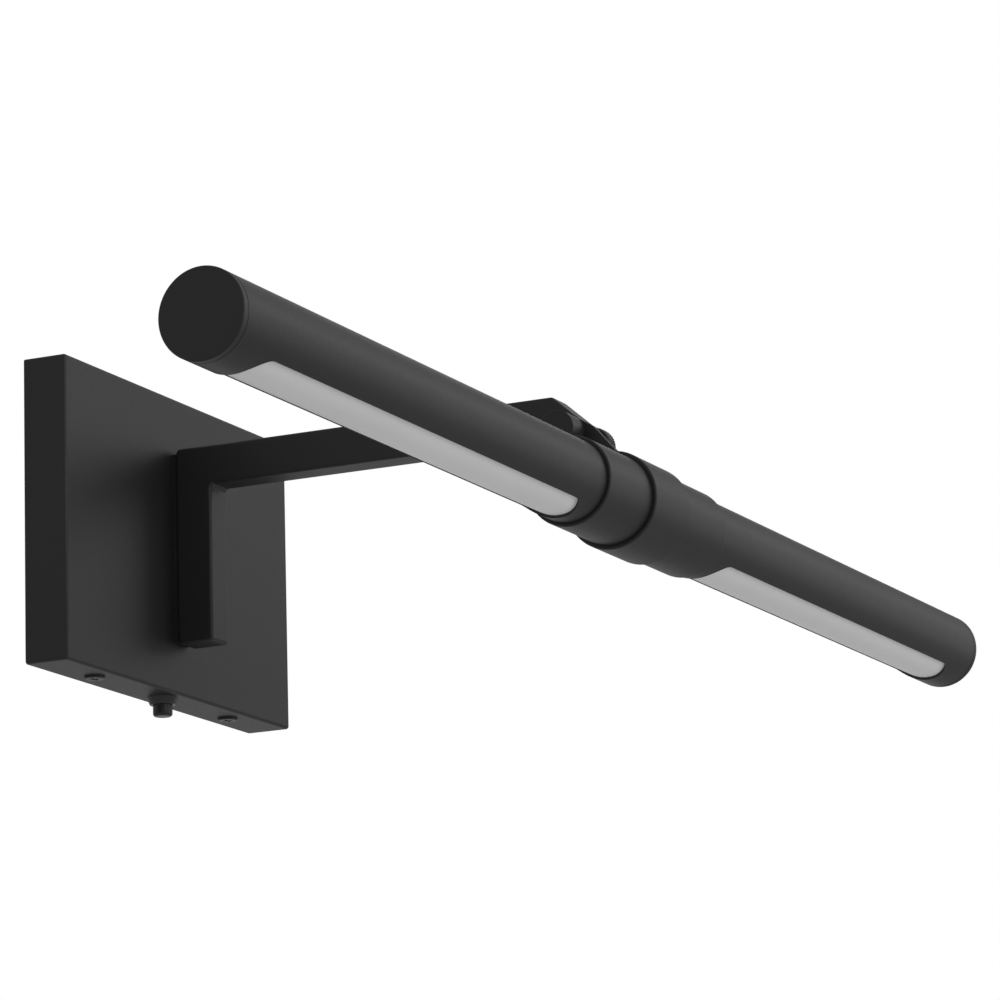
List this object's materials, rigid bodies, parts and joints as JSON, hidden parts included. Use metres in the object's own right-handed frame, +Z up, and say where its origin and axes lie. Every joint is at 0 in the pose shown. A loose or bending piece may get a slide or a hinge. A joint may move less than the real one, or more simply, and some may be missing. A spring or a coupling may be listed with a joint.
{
  "type": "picture light",
  "caption": "Wall-mounted picture light: rectangular canopy with push switch, L-shaped square arm, thumb-screw swivel and a two-part round tube lamp with frosted lenses.",
  "frame": {"origin": "centre of the canopy's back face, on the wall", "axes": "+X along the lamp tube, +Y into the wall, +Z up; the light stands out from the wall towards -Y"},
  "size_m": [0.6416, 0.2214, 0.1215],
  "materials": {
    "black_coat": "fine matte black powder coat",
    "black_screw": "black oxide",
    "black_knurl": "satin black",
    "black_nickel": "satin black nickel",
    "black_button": "semi-gloss",
    "black_pad": "matte",
    "lead_sheath": "matte",
    "zinc_steel": "zinc plated",
    "spindle_steel": "turned",
    "spring_steel": "bright",
    "green_screw": "green plated",
    "driver_case": "satin",
    "terminal_plastic": "satin",
    "switch_plastic": "satin",
    "hub_aluminium": "milled",
    "bush_nylon": "natural nylon",
    "frosted_lens": "frosted white",
    "board_white": "white solder mask",
    "led_phosphor": "yellow phosphor"
  },
  "bodies": {
    "root": {"canopy_cover": "black_coat", "wall_bracket": "zinc_steel", "cover_screws": "black_screw", "ground_screw": "green_screw", "led_driver": "driver_case", "terminal_block": "terminal_plastic", "switch_body": "switch_plastic", "switch_locknut": "zinc_steel", "switch_bezel": "black_nickel", "switch_spring": "spring_steel", "arm_backplate": "zinc_steel", "arm_screws": "zinc_steel", "arm_spacer": "black_pad", "support_arm": "black_coat", "arm_lead": "lead_sheath", "arm_grommet": "black_pad"},
    "button": {"switch_button": "black_button"},
    "lamp_swivel": {"swivel_bracket": "black_coat", "foot_screws": "black_screw", "friction_washers": "black_pad", "centre_sleeve": "black_coat", "sleeve_hub": "hub_aluminium", "spindle": "spindle_steel", "spindle_circlips": "spring_steel", "sleeve_grommet": "black_pad"},
    "thumb_screw": {"thumb_screw": "black_knurl"},
    "left_lamp": {"left_tube": "black_coat", "left_lens": "frosted_lens", "left_end_cap": "black_coat", "left_collar": "black_coat", "left_collar_screw": "black_screw", "left_bush": "bush_nylon", "left_heat_sink": "hub_aluminium", "left_led_board": "board_white", "left_led_emitters": "led_phosphor"},
    "right_lamp": {"right_tube": "black_coat", "right_lens": "frosted_lens", "right_end_cap": "black_coat", "right_collar": "black_coat", "right_collar_screw": "black_screw", "right_bush": "bush_nylon", "right_heat_sink": "hub_aluminium", "right_led_board": "board_white", "right_led_emitters": "led_phosphor"}
  },
  "joints": [
    {"name": "lamp_tilt", "type": "hinge", "parent": "root", "child": "lamp_swivel", "pos_m": [0, -0.1843, 0.0204], "axis": [1, 0, 0], "range_deg": [-60, 60]},
    {"name": "thumb_screw_turn", "type": "hinge", "parent": "lamp_swivel", "child": "thumb_screw", "pos_m": [0, -0.1843, 0.0204], "axis": [1, 0, 0], "range_deg": [0, 360]},
    {"name": "left_lamp_turn", "type": "hinge", "parent": "lamp_swivel", "child": "left_lamp", "pos_m": [0, -0.2032, -0.0073], "axis": [1, 0, 0], "range_deg": [-90, 90]},
    {"name": "right_lamp_turn", "type": "hinge", "parent": "lamp_swivel", "child": "right_lamp", "pos_m": [0, -0.2032, -0.0073], "axis": [1, 0, 0], "range_deg": [-90, 90]},
    {"name": "switch_push", "type": "slide", "parent": "root", "child": "button", "axis": [0, 0, 1], "range_m": [0, 0.003], "stiffness_N_per_m": 400, "springref_m": -0.003, "deforming": ["switch_spring"]}
  ]
}
